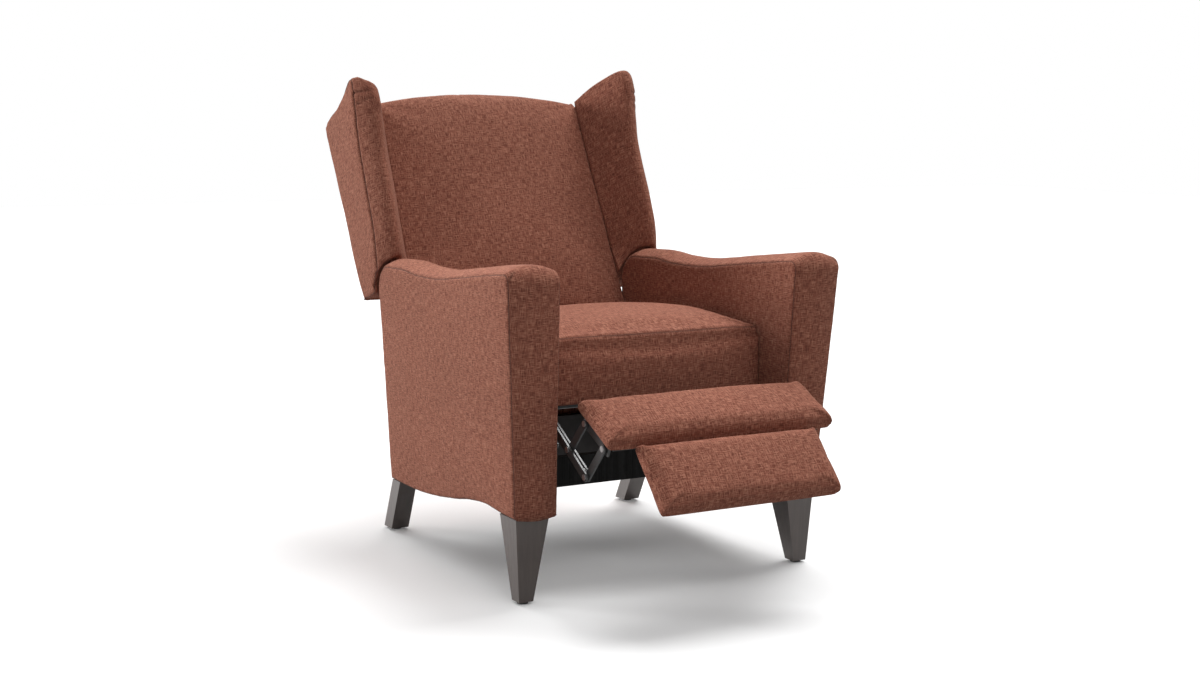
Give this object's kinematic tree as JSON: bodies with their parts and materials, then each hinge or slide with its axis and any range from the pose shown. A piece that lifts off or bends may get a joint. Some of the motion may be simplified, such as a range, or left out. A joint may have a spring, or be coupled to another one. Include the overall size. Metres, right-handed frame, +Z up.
{
  "type": "wingback recliner",
  "caption": "Push-back wingback recliner in rust chenille with padded arms, tapered dark legs and an open two-pad footrest.",
  "frame": {"origin": "on the floor, under the centre of the chair's outline seen from above, with the footrest open and the back reclined", "axes": "+Z up, -Y the way the chair faces, +X to the right as seen from in front"},
  "size_m": [0.774, 1.2877, 1.0407],
  "materials": {
    "fabric": "rust chenille weave, matt",
    "lining": "black dust cloth",
    "hardwood": "planed, unfinished",
    "plywood": "unfinished plywood",
    "espresso_wood": "dark espresso stain, satin",
    "glide_plastic": "moulded, matt",
    "black_steel": "black enamel, semi-gloss",
    "zinc_steel": "bright zinc plate",
    "spring_steel": "oiled spring wire"
  },
  "bodies": {
    "base": {"left_arm_cover": "fabric", "right_arm_cover": "fabric", "left_arm_frame": "hardwood", "right_arm_frame": "hardwood", "front_left_leg": "espresso_wood", "front_right_leg": "espresso_wood", "rear_left_leg": "espresso_wood", "rear_right_leg": "espresso_wood", "leg_glides": "glide_plastic", "leg_bolts": "zinc_steel", "front_rail": "lining", "rear_rail": "hardwood", "rear_apron": "fabric", "corner_blocks": "hardwood", "left_base_angle": "black_steel", "right_base_angle": "black_steel", "base_screws": "zinc_steel"},
    "seat_carriage": {"left_side_plate": "black_steel", "right_side_plate": "black_steel", "glide_studs": "zinc_steel", "plate_pins": "zinc_steel", "seat_side_rails": "hardwood", "seat_cross_rails": "hardwood", "seat_springs": "spring_steel", "seat_deck": "lining", "seat_cushion": "fabric"},
    "back": {"back_posts": "hardwood", "back_rails": "hardwood", "back_springs": "spring_steel", "back_cushion": "fabric", "outside_back": "fabric", "left_wing_panel": "plywood", "right_wing_panel": "plywood", "left_wing": "fabric", "right_wing": "fabric", "back_brackets": "black_steel", "back_bracket_bolts": "zinc_steel", "back_pivot_pins": "zinc_steel"},
    "drive_link_pair": {"left_drive_link": "black_steel", "right_drive_link": "black_steel", "drive_link_pins": "zinc_steel"},
    "guide_link_pair": {"guide_links": "black_steel", "guide_link_pins": "zinc_steel"},
    "front_link_pair": {"front_links": "black_steel", "front_link_pins": "zinc_steel"},
    "rear_link_pair": {"rear_links": "black_steel", "rear_link_pins": "zinc_steel"},
    "torque_tube": {"cross_tube": "black_steel", "tube_cranks": "black_steel", "crank_pins": "zinc_steel"},
    "tie_rod_pair": {"tie_rods": "black_steel"},
    "footrest": {"footrest_brackets": "black_steel", "bracket_screws": "zinc_steel", "footrest_board": "plywood", "upper_footrest_pad": "fabric", "flap_hinge_upper_leaves": "black_steel", "flap_hinge_pins": "zinc_steel"},
    "flap": {"flap_hinge_lower_leaves": "black_steel", "flap_board": "plywood", "lower_footrest_pad": "fabric"}
  },
  "joints": [
    {"name": "seat_glide", "type": "slide", "parent": "base", "child": "seat_carriage", "axis": [0, 0.8336, 0.5524], "range_m": [0, 0.036]},
    {"name": "back_recline", "type": "hinge", "parent": "seat_carriage", "child": "back", "pos_m": [0, 0.22387, 0.345], "axis": [1, 0, 0], "range_deg": [0, 13.05]},
    {"name": "footrest_fold", "type": "hinge", "parent": "seat_carriage", "child": "drive_link_pair", "pos_m": [0, -0.28733, 0.3451], "axis": [1, 0, 0], "range_deg": [0, 65.2]},
    {"name": "guide_swing", "type": "hinge", "parent": "seat_carriage", "child": "guide_link_pair", "pos_m": [0, -0.26123, 0.352], "axis": [1, 0, 0], "range_deg": [0, 63.61]},
    {"name": "front_link_turn", "type": "hinge", "parent": "drive_link_pair", "child": "front_link_pair", "pos_m": [0, -0.42613, 0.262], "axis": [1, 0, 0], "range_deg": [-84.83, 0]},
    {"name": "rear_link_turn", "type": "hinge", "parent": "drive_link_pair", "child": "rear_link_pair", "pos_m": [0, -0.35728, 0.30322], "axis": [1, 0, 0], "range_deg": [-90.45, 0]},
    {"name": "footrest_turn", "type": "hinge", "parent": "front_link_pair", "child": "footrest", "pos_m": [0, -0.48425, 0.32649], "axis": [1, 0, 0], "range_deg": [0, 83.38]},
    {"name": "flap_turn", "type": "hinge", "parent": "footrest", "child": "flap", "pos_m": [0, -0.52005, 0.31656], "axis": [1, 0, 0], "range_deg": [0, 155.03]},
    {"name": "tube_turn", "type": "hinge", "parent": "seat_carriage", "child": "torque_tube", "pos_m": [0, -0.08613, 0.34], "axis": [1, 0, 0], "range_deg": [0, 65.35]},
    {"name": "tie_rod_swing", "type": "hinge", "parent": "torque_tube", "child": "tie_rod_pair", "pos_m": [0, -0.09373, 0.2967], "axis": [1, 0, 0], "range_deg": [-65.35, 0]}
  ],
  "couplings": [
    {"joint": "back_recline", "follows": "seat_glide", "rad_per_m": 6.3026},
    {"joint": "guide_swing", "follows": "footrest_fold", "ratio": 0.9733},
    {"joint": "front_link_turn", "follows": "footrest_fold", "ratio": -1.2987},
    {"joint": "rear_link_turn", "follows": "footrest_fold", "ratio": -1.385},
    {"joint": "footrest_turn", "follows": "footrest_fold", "ratio": 1.2765},
    {"joint": "flap_turn", "follows": "footrest_fold", "ratio": 2.3755},
    {"joint": "tube_turn", "follows": "footrest_fold", "ratio": 1},
    {"joint": "tie_rod_swing", "follows": "footrest_fold", "ratio": -1}
  ]
}
